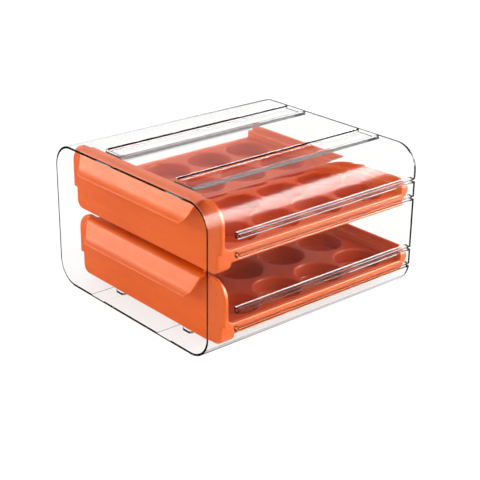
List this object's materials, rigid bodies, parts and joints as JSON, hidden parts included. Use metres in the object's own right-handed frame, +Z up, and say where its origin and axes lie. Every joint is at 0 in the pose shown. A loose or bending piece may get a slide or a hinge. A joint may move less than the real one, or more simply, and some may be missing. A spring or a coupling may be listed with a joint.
{
  "type": "egg storage box",
  "caption": "Clear stacking case with two pull-out drawers, each holding a dropped-in tray of round egg cups under a curled finger lip.",
  "frame": {"origin": "centre of the bounding box's underside, on the plane the foot runners stand on", "axes": "+Z up; -Y to the front, where the drawers pull out; +X to the right seen from behind the front, that is to the viewer's right"},
  "size_m": [0.21, 0.2346, 0.1339],
  "materials": {
    "clear_plastic": "polished clear",
    "orange_plastic": "satin"
  },
  "bodies": {
    "case": {"clear_case": "clear_plastic"},
    "upper_drawer_body": {"upper_drawer": "orange_plastic", "upper_egg_tray": "orange_plastic"},
    "lower_drawer_body": {"lower_drawer": "orange_plastic", "lower_egg_tray": "orange_plastic"}
  },
  "joints": [
    {"name": "upper_drawer_slide", "type": "slide", "parent": "case", "child": "upper_drawer_body", "axis": [0, -1, 0], "range_m": [-0.0008, 0.18]},
    {"name": "lower_drawer_slide", "type": "slide", "parent": "case", "child": "lower_drawer_body", "axis": [0, -1, 0], "range_m": [0, 0.18]}
  ]
}
